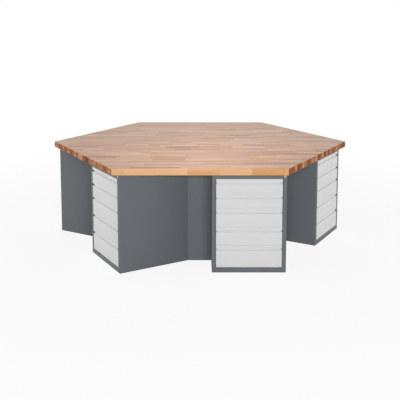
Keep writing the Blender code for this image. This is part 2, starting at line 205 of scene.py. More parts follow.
@dataclass(frozen=True)
class LaminatedBeech:
    """Beech worktop board: finger-jointed staves glued side by side, sanded and oiled.

    The tone changes from stave to stave, fine grain runs along each one, and the glue lines
    show as thin dark lines. Oil leaves a soft sheen that pales the wood at a flat angle; the
    top's tones are also painted paler and pinker than the long edges', a painted sheen. The
    drawing's number picks one of the random orders in which light and dark staves lie. Real
    fibres, flecks and growth rings are finer; they are drawn coarser so that they show.
    """

    # Painted sheen: the top's tones are paler and pinker than the long edges' tones, as if
    # whitened by the surroundings seen at a flat angle
    TONES: ClassVar[dict[float, str]] = {0.0: "#AE8066", 0.2: "#C29375", 0.45: "#CCA086",
                                         0.7: "#D3A993", 0.9: "#DCB7A3", 1.0: "#C3937F"}
    EDGE_TONES: ClassVar[dict[float, str]] = {0.0: "#D1935B", 0.3: "#DAA069", 0.6: "#E2AC7B",
                                              1.0: "#E9BA8F"}
    END_TONES: ClassVar[dict[float, str]] = {0.0: "#703A27", 0.25: "#87492C", 0.5: "#99603D",
                                             0.75: "#A97750", 1.0: "#B98F68"}
    rows: int = 54
    shortest_stave: float = 0.20
    longest_stave: float = 0.50
    seam: float = 0.0011
    seam_tint: float = 0.62
    drawing: float = 97.0
    warm_tone: str = "#D9AE80"
    warm_from: float = 0.55
    warm_most: float = 0.7
    scatter: float = 9.0
    grain: Streak = Streak(0.30, 0.0022, 4.0, (0.3, 0.7), (0.90, 1.06))
    figure: Streak = Streak(0.55, 0.012, 2.0, (0.35, 0.65), (0.93, 1.05))
    flecks: Streak = Streak(0.010, 0.0012, 0.0, (0.66, 0.74), (1.0, 0.86))
    turn_from: float = 0.35
    turn_to: float = 0.7
    ring_pitch: float = 0.005 * math.tau
    ring_tints: tuple[float, float] = (0.86, 1.08)
    roughness: tuple[float, float] = (0.36, 0.52)
    end_roughness: float = 0.85
    relief: float = 0.35
    relief_depth: float = 0.0003

    def material(self, width: float) -> bpy.types.Material:
        """Build the wood.

        Args:
            width: The board's width across its staves.

        Returns:
            The finished material.
        """
        material, tree, shader = new_material("oiled laminated beech")
        stave_width = width / self.rows
        coords = add_node(tree, "TexCoord")
        place = add_node(tree, "SeparateXYZ", inputs={0: coords.outputs["Object"]})

        # The rows at the two long edges are half a stave wide.
        row_place = add_node(tree, "Math", {"operation": "MULTIPLY_ADD"},
                             {0: place.outputs["Y"], 1: 1 / stave_width, 2: self.rows / 2 + 0.5})
        row = add_node(tree, "Math", {"operation": "FLOOR"}, {0: row_place.outputs[0]})
        row_chance = add_node(tree, "TexWhiteNoise", {"noise_dimensions": "1D"},
                              {"W": row.outputs[0]})
        chances = add_node(tree, "SeparateColor", inputs={0: row_chance.outputs["Color"]})
        length = add_node(tree, "Math", {"operation": "MULTIPLY_ADD"},
                          {0: chances.outputs[1], 1: self.longest_stave - self.shortest_stave,
                           2: self.shortest_stave})
        shifted = add_node(tree, "Math", {"operation": "ADD"},
                           {0: place.outputs["X"], 1: chances.outputs[0]})
        stave_place = add_node(tree, "Math", {"operation": "DIVIDE"},
                               {0: shifted.outputs[0], 1: length.outputs[0]})
        stave = add_node(tree, "Math", {"operation": "FLOOR"}, {0: stave_place.outputs[0]})
        stave_key = add_node(tree, "CombineXYZ",
                             inputs={0: stave.outputs[0], 1: row.outputs[0], 2: self.drawing})
        chance = add_node(tree, "TexWhiteNoise", {"noise_dimensions": "3D"},
                          {"Vector": stave_key.outputs[0]})

        tone, edge_tone, end_tone = [
            add_node(tree, "ValToRGB", inputs={0: chance.outputs["Value"]}, stops=stops)
            for stops in (self.TONES, self.EDGE_TONES, self.END_TONES)]
        warmth = add_node(tree, "SeparateColor", inputs={0: chance.outputs["Color"]})
        warm_share = add_node(tree, "MapRange",
                              inputs={0: warmth.outputs[1], 1: self.warm_from, 4: self.warm_most})
        warm_tone = add_node(tree, "Mix", {"data_type": "RGBA"},
                             {0: warm_share.outputs[0], 6: tone.outputs[0],
                              7: linear(self.warm_tone)})

        away = add_node(tree, "VectorMath", {"operation": "MULTIPLY_ADD"},
                        {0: chance.outputs["Color"], 1: (self.scatter,) * 3,
                         2: coords.outputs["Object"]})
        noises, tints = [], []
        for streak in (self.grain, self.figure, self.flecks):
            drawn_out = add_node(tree, "VectorMath", {"operation": "MULTIPLY"},
                                 {0: away.outputs[0],
                                  1: (1 / streak.length, 1 / streak.width, 1 / streak.width)})
            noises.append(add_node(tree, "TexNoise",
                                   inputs={"Vector": drawn_out.outputs[0], "Scale": 1.0,
                                           "Detail": streak.detail, "Roughness": 0.6}))
            tints.append(add_node(tree, "MapRange",
                                  inputs={0: noises[-1].outputs[0], 1: streak.limits[0],
                                          2: streak.limits[1], 3: streak.tints[0],
                                          4: streak.tints[1]}))
        grain = noises[0]
        grain_tint, figure_tint, fleck_tint = tints

        gaps = []
        for along, size in ((row_place, stave_width), (stave_place, length.outputs[0])):
            near_joint = add_node(tree, "Math", {"operation": "PINGPONG"},
                                  {0: along.outputs[0], 1: 0.5})
            gaps.append(add_node(tree, "Math", {"operation": "MULTIPLY"},
                                 {0: near_joint.outputs[0], 1: size}))
        gap = add_node(tree, "Math", {"operation": "MINIMUM"},
                       {0: gaps[0].outputs[0], 1: gaps[1].outputs[0]})
        seam_tint = add_node(tree, "MapRange", {"interpolation_type": "SMOOTHSTEP"},
                             {0: gap.outputs[0], 2: self.seam, 3: self.seam_tint})

        facing = add_node(tree, "SeparateXYZ", inputs={0: coords.outputs["Normal"]})
        turned = []
        for axis in ("X", "Y"):
            share = add_node(tree, "Math", {"operation": "ABSOLUTE"}, {0: facing.outputs[axis]})
            turned.append(add_node(tree, "MapRange",
                                   inputs={0: share.outputs[0], 1: self.turn_from,
                                           2: self.turn_to}))
        end_grain, long_edge = turned
        rings = add_node(tree, "TexWave", {"wave_type": "RINGS", "rings_direction": "X"},
                         {"Vector": away.outputs[0],
                          "Scale": math.tau / (WAVE_TURN * self.ring_pitch),
                          "Distortion": 1.5, "Detail": 2.0, "Detail Scale": 3.0})
        ring_tint = add_node(tree, "MapRange",
                             inputs={0: rings.outputs["Fac"], 3: self.ring_tints[0],
                                     4: self.ring_tints[1]})

        long_tint = grain_tint
        for other in (figure_tint, fleck_tint):
            long_tint = add_node(tree, "Math", {"operation": "MULTIPLY"},
                                 {0: long_tint.outputs[0], 1: other.outputs[0]})
        tint = add_node(tree, "Mix", {"data_type": "FLOAT"},
                        {0: end_grain.outputs[0], 2: long_tint.outputs[0],
                         3: ring_tint.outputs[0]})
        seamed = add_node(tree, "Math", {"operation": "MULTIPLY"},
                          {0: tint.outputs[0], 1: seam_tint.outputs[0]})
        # Painted sheen: faces along Y take the deeper orange edge tones, the top keeps its paler,
        # sheen-whitened tones
        faces = add_node(tree, "Mix", {"data_type": "RGBA"},
                         {0: long_edge.outputs[0], 6: warm_tone.outputs[2],
                          7: edge_tone.outputs[0]})
        wood = add_node(tree, "Mix", {"data_type": "RGBA"},
                        {0: end_grain.outputs[0], 6: faces.outputs[2], 7: end_tone.outputs[0]})
        colour = add_node(tree, "Mix", {"data_type": "RGBA", "blend_type": "MULTIPLY"},
                          {0: 1.0, 6: wood.outputs[2], 7: seamed.outputs[0]})
        tree.links.new(colour.outputs[2], shader.inputs["Base Color"])

        gloss = add_node(tree, "MapRange",
                         inputs={0: grain.outputs[0], 3: self.roughness[0], 4: self.roughness[1]})
        matt_ends = add_node(tree, "Mix", {"data_type": "FLOAT"},
                             {0: end_grain.outputs[0], 2: gloss.outputs[0],
                              3: self.end_roughness})
        tree.links.new(matt_ends.outputs[0], shader.inputs["Roughness"])
        height = add_node(tree, "Math", {"operation": "MULTIPLY"},
                          {0: grain.outputs[0], 1: seam_tint.outputs[0]})
        bump = add_node(tree, "Bump",
                        inputs={"Strength": self.relief, "Distance": self.relief_depth,
                                "Height": height.outputs[0]})
        tree.links.new(bump.outputs[0], shader.inputs["Normal"])
        return material


@dataclass(frozen=True)
class PowderCoat:
    """Powder-coated sheet steel: sprayed, baked, with a faint orange peel and a soft sheen."""

    name: str
    shade: str
    colour: str
    roughness: tuple[float, float] = (0.53, 0.63)
    specular: float = 0.20
    cloud: float = 0.45
    cloud_from: float = 0.35
    cloud_to: float = 0.65
    peel: float = 0.0025
    relief: float = 0.25
    relief_depth: float = 0.00012

    def material(self) -> bpy.types.Material:
        """Build the paint."""
        material, tree, shader = new_material(self.name)
        coords = add_node(tree, "TexCoord")
        clouds = add_node(tree, "TexNoise",
                          inputs={"Vector": coords.outputs["Object"], "Scale": 1 / self.cloud,
                                  "Detail": 3.0})
        tone = add_node(tree, "MapRange",
                        inputs={0: clouds.outputs[0], 1: self.cloud_from, 2: self.cloud_to})
        # The real peel is about 1 mm wide; it is drawn coarser so that it shows.
        peel = add_node(tree, "TexNoise",
                        inputs={"Vector": coords.outputs["Object"], "Scale": 1 / self.peel,
                                "Detail": 2.0})
        link_coat(tree, shader, (tone.outputs[0], peel.outputs[0]), (self.shade, self.colour),
                  self.roughness)
        shader.inputs["Specular IOR Level"].default_value = self.specular
        bump = add_node(tree, "Bump",
                        inputs={"Strength": self.relief, "Distance": self.relief_depth,
                                "Height": peel.outputs[0]})
        tree.links.new(bump.outputs[0], shader.inputs["Normal"])
        return material


@dataclass(frozen=True)
class ZincPlate:
    """Zinc-plated steel of the runners and the locking bars: cool grey with soft spangles."""

    spangle: float = 0.009
    tones: tuple[str, str] = ("#B4B7B8", "#CFD0CE")
    roughness: tuple[float, float] = (0.28, 0.44)

    def material(self) -> bpy.types.Material:
        """Build the plating."""
        material, tree, shader = new_material("zinc-plated steel")
        coords = add_node(tree, "TexCoord")
        spangles = add_node(tree, "TexVoronoi",
                            inputs={"Vector": coords.outputs["Object"],
                                    "Scale": 1 / self.spangle})
        grey = add_node(tree, "SeparateColor", inputs={0: spangles.outputs["Color"]})
        link_coat(tree, shader, (grey.outputs[0], grey.outputs[1]), self.tones, self.roughness)
        shader.inputs["Metallic"].default_value = 1.0
        return material


@dataclass(frozen=True)
class ChromePlate:
    """Satin chrome plate of the locks: greyer than bright chrome, with fine rubbing marks.

    Real marks are finer than these, which are drawn as coarse as they need to show.
    """

    marks: float = 0.0008
    tones: tuple[str, str] = ("#B6B9BB", "#C9CBCC")
    roughness: tuple[float, float] = (0.14, 0.32)

    def material(self) -> bpy.types.Material:
        """Build the plating."""
        material, tree, shader = new_material("satin chrome plate")
        coords = add_node(tree, "TexCoord")
        rubbed = add_node(tree, "TexNoise",
                          inputs={"Vector": coords.outputs["Object"], "Scale": 1 / self.marks,
                                  "Detail": 3.0})
        link_coat(tree, shader, (rubbed.outputs[0],) * 2, self.tones, self.roughness)
        shader.inputs["Metallic"].default_value = 1.0
        return material


@dataclass(frozen=True)
class PlasticAndPaintedShade:
    """Black injection-moulded ABS of the grips' end caps: matt, with a fine spark texture.

    Its near-black tone is partly the plastic's own and partly painted shade, the shade that
    falls in the grip recess's open ends.

    The real texture is about 0.2 mm wide; it is drawn coarser so that it shows.
    """

    texture: float = 0.0012
    # Near-black: the caps' own colour together with painted shade of the recess's ends
    tones: tuple[str, str] = ("#101214", "#1C1F22")
    roughness: tuple[float, float] = (0.47, 0.63)
    specular: float = 0.10
    relief: float = 0.3
    relief_depth: float = 0.0001

    def material(self) -> bpy.types.Material:
        """Build the plastic."""
        material, tree, shader = new_material("black moulded ABS")
        coords = add_node(tree, "TexCoord")
        spark = add_node(tree, "TexNoise",
                         inputs={"Vector": coords.outputs["Object"], "Scale": 1 / self.texture,
                                 "Detail": 2.0})
        link_coat(tree, shader, (spark.outputs[0],) * 2, self.tones, self.roughness)
        shader.inputs["Specular IOR Level"].default_value = self.specular
        bump = add_node(tree, "Bump",
                        inputs={"Strength": self.relief, "Distance": self.relief_depth,
                                "Height": spark.outputs[0]})
        tree.links.new(bump.outputs[0], shader.inputs["Normal"])
        return material


def pick(piece: bpy.types.Object) -> None:
    """Select one object alone and make it the active one."""
    bpy.ops.object.select_all(action="DESELECT")
    piece.select_set(True)
    bpy.context.view_layer.objects.active = piece


@contextmanager
def editing(piece: bpy.types.Object, kind: Select,
            wanted: Callable[[Any], bool]) -> Iterator[None]:
    """Open a piece in edit mode with some of its elements selected.

    Args:
        piece: The object to edit.
        kind: Whether edges or faces are chosen.
        wanted: Says of an edge or a face whether it is selected.
    """
    pick(piece)
    mesh = piece.data
    for elements in (mesh.vertices, mesh.edges, mesh.polygons):
        elements.foreach_set("select", [False] * len(elements))
    for element in mesh.edges if kind is Select.EDGES else mesh.polygons:
        element.select = wanted(element)
    bpy.context.tool_settings.mesh_select_mode = kind.value
    bpy.ops.object.mode_set(mode="EDIT")
    yield
    bpy.ops.object.mode_set(mode="OBJECT")


def faces_towards(direction: Vector, limit: float = 0.9) -> Callable[[Any], bool]:
    """Return a test for faces whose normal points in a direction."""
    return lambda face: face.normal.dot(direction) > limit


def middle_of(piece: bpy.types.Object, edge: bpy.types.MeshEdge) -> Vector:
    """Return the middle of an edge."""
    first, second = (piece.data.vertices[index].co for index in edge.vertices)
    return (first + second) / 2


def runs_at(piece: bpy.types.Object, edge: bpy.types.MeshEdge, across: float,
            height: float) -> bool:
    """Say whether an edge's middle lies at a place along Y and Z."""
    middle = middle_of(piece, edge)
    return abs(middle.y - across) < NEAR and abs(middle.z - height) < NEAR


def block(name: str, low: Vector, high: Vector) -> bpy.types.Object:
    """Add a cube primitive at its size and place.

    Args:
        name: The new object's name.
        low: Its lowest corner.
        high: Its highest corner.

    Returns:
        The object, unturned and unscaled at the origin.
    """
    bpy.ops.object.select_all(action="DESELECT")
    bpy.ops.mesh.primitive_cube_add(size=1, location=(low + high) / 2, scale=high - low)
    bpy.ops.object.transform_apply(location=True, rotation=True, scale=True)
    piece = bpy.context.object
    piece.name = name
    return piece


def disc(name: str, middle: Vector, radius: float, depth: float, corners: int,
         turn: tuple[float, float, float] = (math.pi / 2, 0, 0)) -> bpy.types.Object:
    """Add a cylinder primitive, whose axis runs along Y unless its turn says otherwise.

    Args:
        name: The new object's name.
        middle: Its middle.
        radius: Its radius.
        depth: Its length along its axis.
        corners: How many corners it has.
        turn: Its turn from standing on end, in radians.

    Returns:
        The object, unturned and unscaled at the origin.
    """
    bpy.ops.object.select_all(action="DESELECT")
    bpy.ops.mesh.primitive_cylinder_add(vertices=corners, radius=radius, depth=depth,
                                        location=middle, rotation=turn)
    bpy.ops.object.transform_apply(location=True, rotation=True, scale=True)
    piece = bpy.context.object
    piece.name = name
    return piece


def modify(piece: bpy.types.Object, kind: str, **settings: Any) -> None:
    """Add a modifier and apply it.

    Args:
        piece: The object to change.
        kind: The modifier's type.
        **settings: The modifier's own settings.
    """
    pick(piece)
    modifier = piece.modifiers.new(kind.lower(), kind)
    for name, value in settings.items():
        setattr(modifier, name, value)
    bpy.ops.object.modifier_apply(modifier=modifier.name)


def round_edges(piece: bpy.types.Object, radius: float, steps: int = 2) -> None:
    """Round a piece's sharp edges and shade it smooth."""
    modify(piece, "BEVEL", width=radius, segments=steps, limit_method="ANGLE",
           angle_limit=BEVEL_ANGLE, use_clamp_overlap=True)
    pick(piece)
    bpy.ops.object.shade_smooth_by_angle(angle=SMOOTH_ANGLE)


def cut(piece: bpy.types.Object, *tools: bpy.types.Object) -> None:
    """Cut tools away from a piece and remove them."""
    for tool in tools:
        modify(piece, "BOOLEAN", operation="DIFFERENCE", solver="EXACT", object=tool)
        bpy.data.objects.remove(tool, do_unlink=True)


def fold_open(piece: bpy.types.Object, sheet: float, *open_towards: Vector) -> None:
    """Open a block on some sides and give the rest its sheet thickness, inwards.

    Args:
        piece: A closed block.
        sheet: The sheet's thickness.
        *open_towards: The directions in which the block has no wall.
    """
    tests = [faces_towards(direction) for direction in open_towards]
    with editing(piece, Select.FACES, lambda face: any(test(face) for test in tests)):
        bpy.ops.mesh.delete(type="FACE")
    modify(piece, "SOLIDIFY", thickness=sheet, offset=-1, use_even_offset=True)


def join(first: bpy.types.Object, *others: bpy.types.Object) -> bpy.types.Object:
    """Join objects into the first one."""
    pick(first)
    for other in others:
        other.select_set(True)
    bpy.ops.object.join()
    return first


class Bench:
    """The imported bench: where its nodes are, and the pieces that dress it."""

    def __init__(self) -> None:
        """Read the boxes of the nodes that the other sizes follow from."""
        self.housing_low, self.housing_high = map(Vector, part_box("cabinet_1_housing"))
        self.bar_low, self.bar_high = map(Vector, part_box("cabinet_1_locking_bar"))
        self.top_low, self.top_high = map(Vector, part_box("worktop"))
        self.drawers = [tuple(map(Vector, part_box(f"cabinet_1_drawer_{count}")))
                        for count in range(1, DRAWERS + 1)]
        self.middle = (self.housing_low.x + self.housing_high.x) / 2
        self.face = self.drawers[0][0].y

    def dress(self, piece: bpy.types.Object, body: str, slot: Slot | None,
              material: bpy.types.Material, *nodes: str) -> None:
        """Give a finished piece its material and its body, and hide the nodes that it stands for.

        Args:
            piece: The finished piece.
            body: The body that it moves with.
            slot: The record's slot that it would take its finish from, or none; not used.
            material: Its material.
            *nodes: The part's nodes that it stands for.
        """
        piece.data.materials.clear()
        piece.data.materials.append(material)
        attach(piece, body)
        if nodes:
            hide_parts(*nodes)
        log.info("%s: %d faces on %s", piece.name, len(piece.data.polygons), body)

    def copy_round(self, model: bpy.types.Object, label: str, slot: Slot | None,
                   material: bpy.types.Material, body: str = ROOT_BODY,
                   node: str = "") -> None:
        """Copy a piece of the first cabinet to all six sides, and remove the model.

        Args:
            model: The piece at the side that faces -Y.
            label: The piece's name after its cabinet's.
            slot: The record's slot, or none.
            material: Its material.
            body: The body that it moves with, or the part of its name after its cabinet's.
            node: The part of its node's name after its cabinet's, where it stands for one.
        """
        for count in range(SIDES):
            prefix = f"cabinet_{count + 1}_"
            mesh = model.data.copy()
            mesh.transform(Matrix.Rotation(count * SIDE_TURN, 4, "Z"))
            piece = bpy.data.objects.new(prefix + label, mesh)
            bpy.context.scene.collection.objects.link(piece)
            self.dress(piece, body if body == ROOT_BODY else prefix + body, slot, material,
                       *([prefix + node] if node else []))
        bpy.data.objects.remove(model, do_unlink=True)


@dataclass
class Worktop:
    """The hexagonal beech slab."""

    bench: Bench
    edge_radius: float = 0.003
    edge_steps: int = 3
    finish: LaminatedBeech = LaminatedBeech()

    def build(self) -> None:
        """Model the slab with two corners on the X axis, round its edges and dress it."""
        low, high = self.bench.top_low, self.bench.top_high
        width = high.y - low.y
        slab = disc("worktop_slab", Vector((0, 0, (low.z + high.z) / 2)), width / math.sqrt(3),
                    high.z - low.z, SIDES, (0, 0, math.pi / 2))
        round_edges(slab, self.edge_radius, self.edge_steps)
        self.bench.dress(slab, ROOT_BODY, Slot.BEECH, self.finish.material(width), "worktop")


@dataclass
class Housing:
    """A cabinet's folded housing, its front frame, and the runner posts and channels in it."""

    bench: Bench
    sheet: float = 0.0015
    stile: float = 0.030
    top_rail: float = 0.040
    plinth: float = 0.040
    frame_return: float = 0.014
    fold_radius: float = 0.0012
    runner_radius: float = 0.0006
    post_width: float = 0.030
    post_places: tuple[float, float] = (0.060, 0.500)
    post_end_gap: float = 0.010
    channel_start: float = 0.030
    channel_length: float = 0.560
    channel_rise: float = 0.0202
    channel_height: float = 0.0176
    channel_reach: float = 0.0118
    guide_wall: float = 0.0023
    guide_height: float = 0.015
    guide_rise: float = 0.091
    guide_radius: float = 0.0004
    guided_drawers: tuple[int, int] = (1, 4)
    bar_width: float = 0.012
    slot_gap: float = 0.0003
    lock_side_place: float = 0.015
    lock_drop: float = 0.022
    lock_hole_radius: float = 0.008
    ring_radius: float = 0.010
    ring_height: float = 0.0015
    ring_edge_radius: float = 0.0005
    sleeve_radius: float = 0.0078
    sleeve_length: float = 0.0204
    bore_radius: float = 0.0063
    bore_length: float = 0.0612
    lock_corners: int = 40

    def build(self, paint: bpy.types.Material, zinc: bpy.types.Material,
              chrome: bpy.types.Material) -> None:
        """Model the shell, the runners, the guides and the lock's seat, and copy them round.

        Args:
            paint: The housing's paint.
            zinc: The runners' and guides' plating.
            chrome: The lock's plating.
        """
        self.bench.copy_round(self._shell(), "housing_shell", Slot.SLATE, paint, node="housing")
        self.bench.copy_round(self._posts(), "runner_posts", Slot.ZINC, zinc)
        self.bench.copy_round(self._channels(), "runner_channels", Slot.ZINC, zinc)
        self.bench.copy_round(self._bar_guides(), "bar_guides", Slot.ZINC, zinc)
        self.bench.copy_round(self._lock_seat(), "lock_seat", Slot.CHROME, chrome)

    def _shell(self) -> bpy.types.Object:
        """Fold the shell: five walls, and a front frame that returns into the opening."""
        low, high = self.bench.housing_low, self.bench.housing_high
        low = Vector((low.x, self.bench.face, low.z))
        shell = block("housing", low, high)
        with editing(shell, Select.FACES, faces_towards(FRONT)):
            bpy.ops.mesh.inset(thickness=self.stile, use_even_offset=True)
        for height, change in ((low.z + self.stile, self.plinth - self.stile),
                               (high.z - self.stile, self.stile - self.top_rail)):
            with editing(shell, Select.EDGES,
                         lambda edge, height=height: self._on_rail(shell, edge, height)):
                bpy.ops.transform.translate(value=(0, 0, change))
        opening = faces_towards(FRONT)
        middle = Vector((self.bench.middle, low.y, (low.z + high.z) / 2))
        with editing(shell, Select.FACES, lambda face: opening(face)
                     and (face.center - middle).length < self.stile):
            bpy.ops.mesh.extrude_region_move(
                TRANSFORM_OT_translate={"value": (0, self.frame_return, 0)})
            bpy.ops.mesh.delete(type="FACE")
        modify(shell, "SOLIDIFY", thickness=self.sheet, offset=-1, use_even_offset=True)
        cut(shell, disc("lock_hole", self.lock_axis, self.lock_hole_radius,
                        self.frame_return, self.lock_corners))
        round_edges(shell, self.fold_radius)
        return shell

    @property
    def lock_axis(self) -> Vector:
        """Return where the lock's axis meets the face, in the frame's corner."""
        corner = self.bench.housing_high
        return Vector((corner.x - self.lock_side_place, self.bench.face,
                       corner.z - self.lock_drop))

    def _on_rail(self, shell: bpy.types.Object, edge: bpy.types.MeshEdge,
                 height: float) -> bool:
        """Say whether an edge lies along the lower or upper side of the frame's opening."""
        return (runs_at(shell, edge, self.bench.face, height)
                and abs(middle_of(shell, edge).x - self.bench.middle) < NEAR)

    def _posts(self) -> bpy.types.Object:
        """Fold the four posts."""
        high = self.bench.housing_high
        posts = []
        for start in self.post_places:
            front = self.bench.face + start
            post = block("post",
                         Vector((high.x - self.stile, front, self.plinth + self.post_end_gap)),
                         Vector((high.x - self.sheet, front + self.post_width,
                                 high.z - self.top_rail - self.post_end_gap)))
            fold_open(post, self.sheet, RIGHT, UP, DOWN)
            posts.append(post)
        both = join(*posts)
        self._mirror(both)
        round_edges(both, self.runner_radius)
        return both

    def _channels(self) -> bpy.types.Object:
        """Fold the ten channels in which the drawers' slides run."""
        channels = []
        front = self.bench.face + self.channel_start
        right = self.bench.housing_high.x - self.stile
        left = right - self.channel_reach
        for drawer_low, _ in self.bench.drawers:
            low = drawer_low.z + self.channel_rise
            channel = block("channel", Vector((left, front, low)),
                            Vector((right, front + self.channel_length,
                                    low + self.channel_height)))
            fold_open(channel, self.sheet, LEFT, FRONT, BACK)
            channels.append(channel)
        both = join(*channels)
        self._mirror(both)
        round_edges(both, self.runner_radius)
        return both

    def _bar_guides(self) -> bpy.types.Object:
        """Cut the two guides that the locking bar slides in."""
        low, high = self.bench.bar_low, self.bench.bar_high
        left = high.x - self.bar_width - self.slot_gap
        guides = []
        for count in self.guided_drawers:
            foot = self.bench.drawers[count][0].z + self.guide_rise
            head = foot + self.guide_height
            guide = block("guide",
                          Vector((left - self.guide_wall, low.y - self.guide_wall, foot)),
                          Vector((self.bench.housing_high.x - self.sheet,
                                  high.y + self.guide_wall, head)))
            cut(guide, block("slot",
                             Vector((left, low.y - self.slot_gap, foot - OVERRUN)),
                             Vector((high.x + self.slot_gap, high.y + self.slot_gap,
                                     head + OVERRUN))))
            guides.append(guide)
        both = join(*guides)
        round_edges(both, self.guide_radius)
        return both

    def _lock_seat(self) -> bpy.types.Object:
        """Turn the lock's ring, draw its sleeve out of its back, and bore it for the plug."""
        middle = self.lock_axis + FRONT * self.ring_height / 2
        seat = disc("lock_seat", middle, self.ring_radius, self.ring_height, self.lock_corners)
        with editing(seat, Select.FACES, faces_towards(BACK)):
            bpy.ops.mesh.inset(thickness=self.ring_radius - self.sleeve_radius)
            bpy.ops.mesh.extrude_region_move(
                TRANSFORM_OT_translate={"value": (0, self.sleeve_length, 0)})
        cut(seat, disc("lock_bore", self.lock_axis, self.bore_radius, self.bore_length,
                       self.lock_corners))
        round_edges(seat, self.ring_edge_radius)
        return seat

    def _mirror(self, piece: bpy.types.Object) -> None:
        """Repeat a piece on the cabinet's other side."""
        pick(piece)
        bpy.ops.object.duplicate()
        twin = bpy.context.object
        bpy.ops.transform.mirror(constraint_axis=(True, False, False))
        twin.location.x = 2 * self.bench.middle
        bpy.ops.object.transform_apply(location=True, rotation=True, scale=True)
        with editing(twin, Select.FACES, lambda face: True):
            bpy.ops.mesh.normals_make_consistent(inside=False)
        join(piece, twin)


@dataclass
class Drawer:
    """One size of drawer: folded front with its grip recess, tray, slides and lock lug."""

    bench: Bench
    depth: float = 0.022
    sheet: float = 0.0012
    lip: float = 0.015
    band: float = 0.023
    mouth: float = 0.016
    grip_depth: float = 0.015
    grip_slant: float = 0.008
    fold_radius: float = 0.0006
    fold_steps: int = 3
    edge_build: float = 0.0004
    runner_space: float = 0.0095
    rim: float = 0.008
    rim_drop: float = 0.030
    floor_rise: float = 0.012
    tray_radius: float = 0.0003
    slide_rise: float = 0.022
    slide_height: float = 0.014
    slide_width: float = 0.0085
    slide_start: float = 0.030
    slide_radius: float = 0.0003
    groove_margin: float = 0.0035
    groove_depth: float = 0.002125
    lug_start: float = 0.0273
    lug_rise: float = 0.053
    lug_height: float = 0.010
    lug_thickness: float = 0.003
    lug_radius: float = 0.0015
    lug_steps: int = 3
    lug_edge_radius: float = 0.0002
    cap_thickness: float = 0.0012
    cap_gap: float = 0.0001
    cap_radius: float = 0.00024

    def build(self, paint: bpy.types.Material, zinc: bpy.types.Material,
              plastic: bpy.types.Material) -> None:
        """Model the five drawers of the first cabinet and copy each round the bench.

        Args:
            paint: The fronts' and trays' paint.
            zinc: The slides' and lugs' plating.
            plastic: The near-black plastic of the grips' end caps, which also paints the shade in
            the recess's ends.
        """
        for count, (low, high) in enumerate(self.bench.drawers, start=1):
            body = f"drawer_{count}"
            self.bench.copy_round(self._front(low, high), f"{body}_front", Slot.LIGHT, paint,
                                  body, node=body)
            self.bench.copy_round(self._tray(low, high), f"{body}_tray", Slot.LIGHT, paint, body)
            self.bench.copy_round(self._slides(low, high), f"{body}_slides", Slot.ZINC, zinc,
                                  body)
            self.bench.copy_round(self._lug(low, high), f"{body}_lug", Slot.ZINC, zinc, body)
            self.bench.copy_round(self._caps(low, high), f"{body}_grip_caps", None, plastic,
                                  body)

    def _front(self, low: Vector, high: Vector) -> bpy.types.Object:
        """Fold a front: face with grip recess, and a lip round its back.

        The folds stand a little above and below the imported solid, so that the joints between
        the fronts are as fine as on the real cabinet.
        """
        build = UP * self.edge_build
        front = block("front", low - build,
                      Vector((high.x, low.y + self.depth, high.z)) + build)
        cut(front, self._wedge("grip", low, high, low.x - OVERRUN, high.x + OVERRUN, 0))
        round_edges(front, self.fold_radius, self.fold_steps)
        with editing(front, Select.FACES, lambda face: faces_towards(BACK)(face)
                     and face.area > (high.z - low.z) * (high.x - low.x) / 2):
            bpy.ops.mesh.inset(thickness=self.lip, use_even_offset=True)
            bpy.ops.mesh.delete(type="FACE")
        modify(front, "SOLIDIFY", thickness=self.sheet, offset=-1, use_even_offset=True)
        return front

    def _wedge(self, name: str, low: Vector, high: Vector, left: float, right: float,
               gap: float) -> bpy.types.Object:
        """Shape a stretch of the grip recess's room, whose back wall leans back at its top.

        Args:
            name: The wedge's name.
            low: The drawer's lowest corner.
            high: The drawer's highest corner.
            left: Where the stretch starts.
            right: Where it ends.
            gap: How far it stays clear of the recess's walls.

        Returns:
            The wedge.
        """
        ceiling = high.z - self.band
        floor = ceiling - self.mouth + gap
        inner = low.y + self.grip_depth - gap
        outer = low.y + gap if gap else low.y - OVERRUN
        wedge = block(name, Vector((left, outer, floor)), Vector((right, inner, ceiling - gap)))
        with editing(wedge, Select.EDGES, lambda edge: runs_at(wedge, edge, inner, floor)):
            bpy.ops.transform.translate(value=(0, -self.grip_slant, 0))
        return wedge

    def _caps(self, low: Vector, high: Vector) -> bpy.types.Object:
        """Mould the two caps that close the grip recess's ends; their black also paints the shade
        there.
        """
        caps = [self._wedge("cap", low, high, left, left + self.cap_thickness, self.cap_gap)
                for left in (low.x + self.cap_gap, high.x - self.cap_gap - self.cap_thickness)]
        both = join(*caps)
        round_edges(both, self.cap_radius)
        return both

    def _lug(self, low: Vector, high: Vector) -> bpy.types.Object:
        """Cut the lug on the tray's right side, which the locking bar's hook stops."""
        start = Vector((high.x - self.runner_space, low.y + self.lug_start,
                        low.z + self.lug_rise))
        lug = block("lug", start, start + Vector((self.slide_width, self.lug_thickness,
                                                  self.lug_height)))
        tip = start + Vector((self.slide_width, self.lug_thickness / 2, 0))
        with editing(lug, Select.EDGES,
                     lambda edge: (middle_of(lug, edge) - tip).to_2d().length < NEAR):
            bpy.ops.mesh.bevel(offset=self.lug_radius, segments=self.lug_steps)
        round_edges(lug, self.lug_edge_radius)
        return lug

    def _tray(self, low: Vector, high: Vector) -> bpy.types.Object:
        """Fold the open tray with its inner rim."""
        tray = block("tray",
                     Vector((low.x + self.runner_space, low.y + self.depth,
                             low.z + self.floor_rise)),
                     Vector((high.x - self.runner_space, high.y, high.z - self.rim_drop)))
        with editing(tray, Select.FACES, faces_towards(UP)):
            bpy.ops.mesh.inset(thickness=self.rim, use_even_offset=True)
            bpy.ops.mesh.delete(type="FACE")
        modify(tray, "SOLIDIFY", thickness=self.sheet, offset=-1, use_even_offset=True)
        round_edges(tray, self.tray_radius)
        return tray

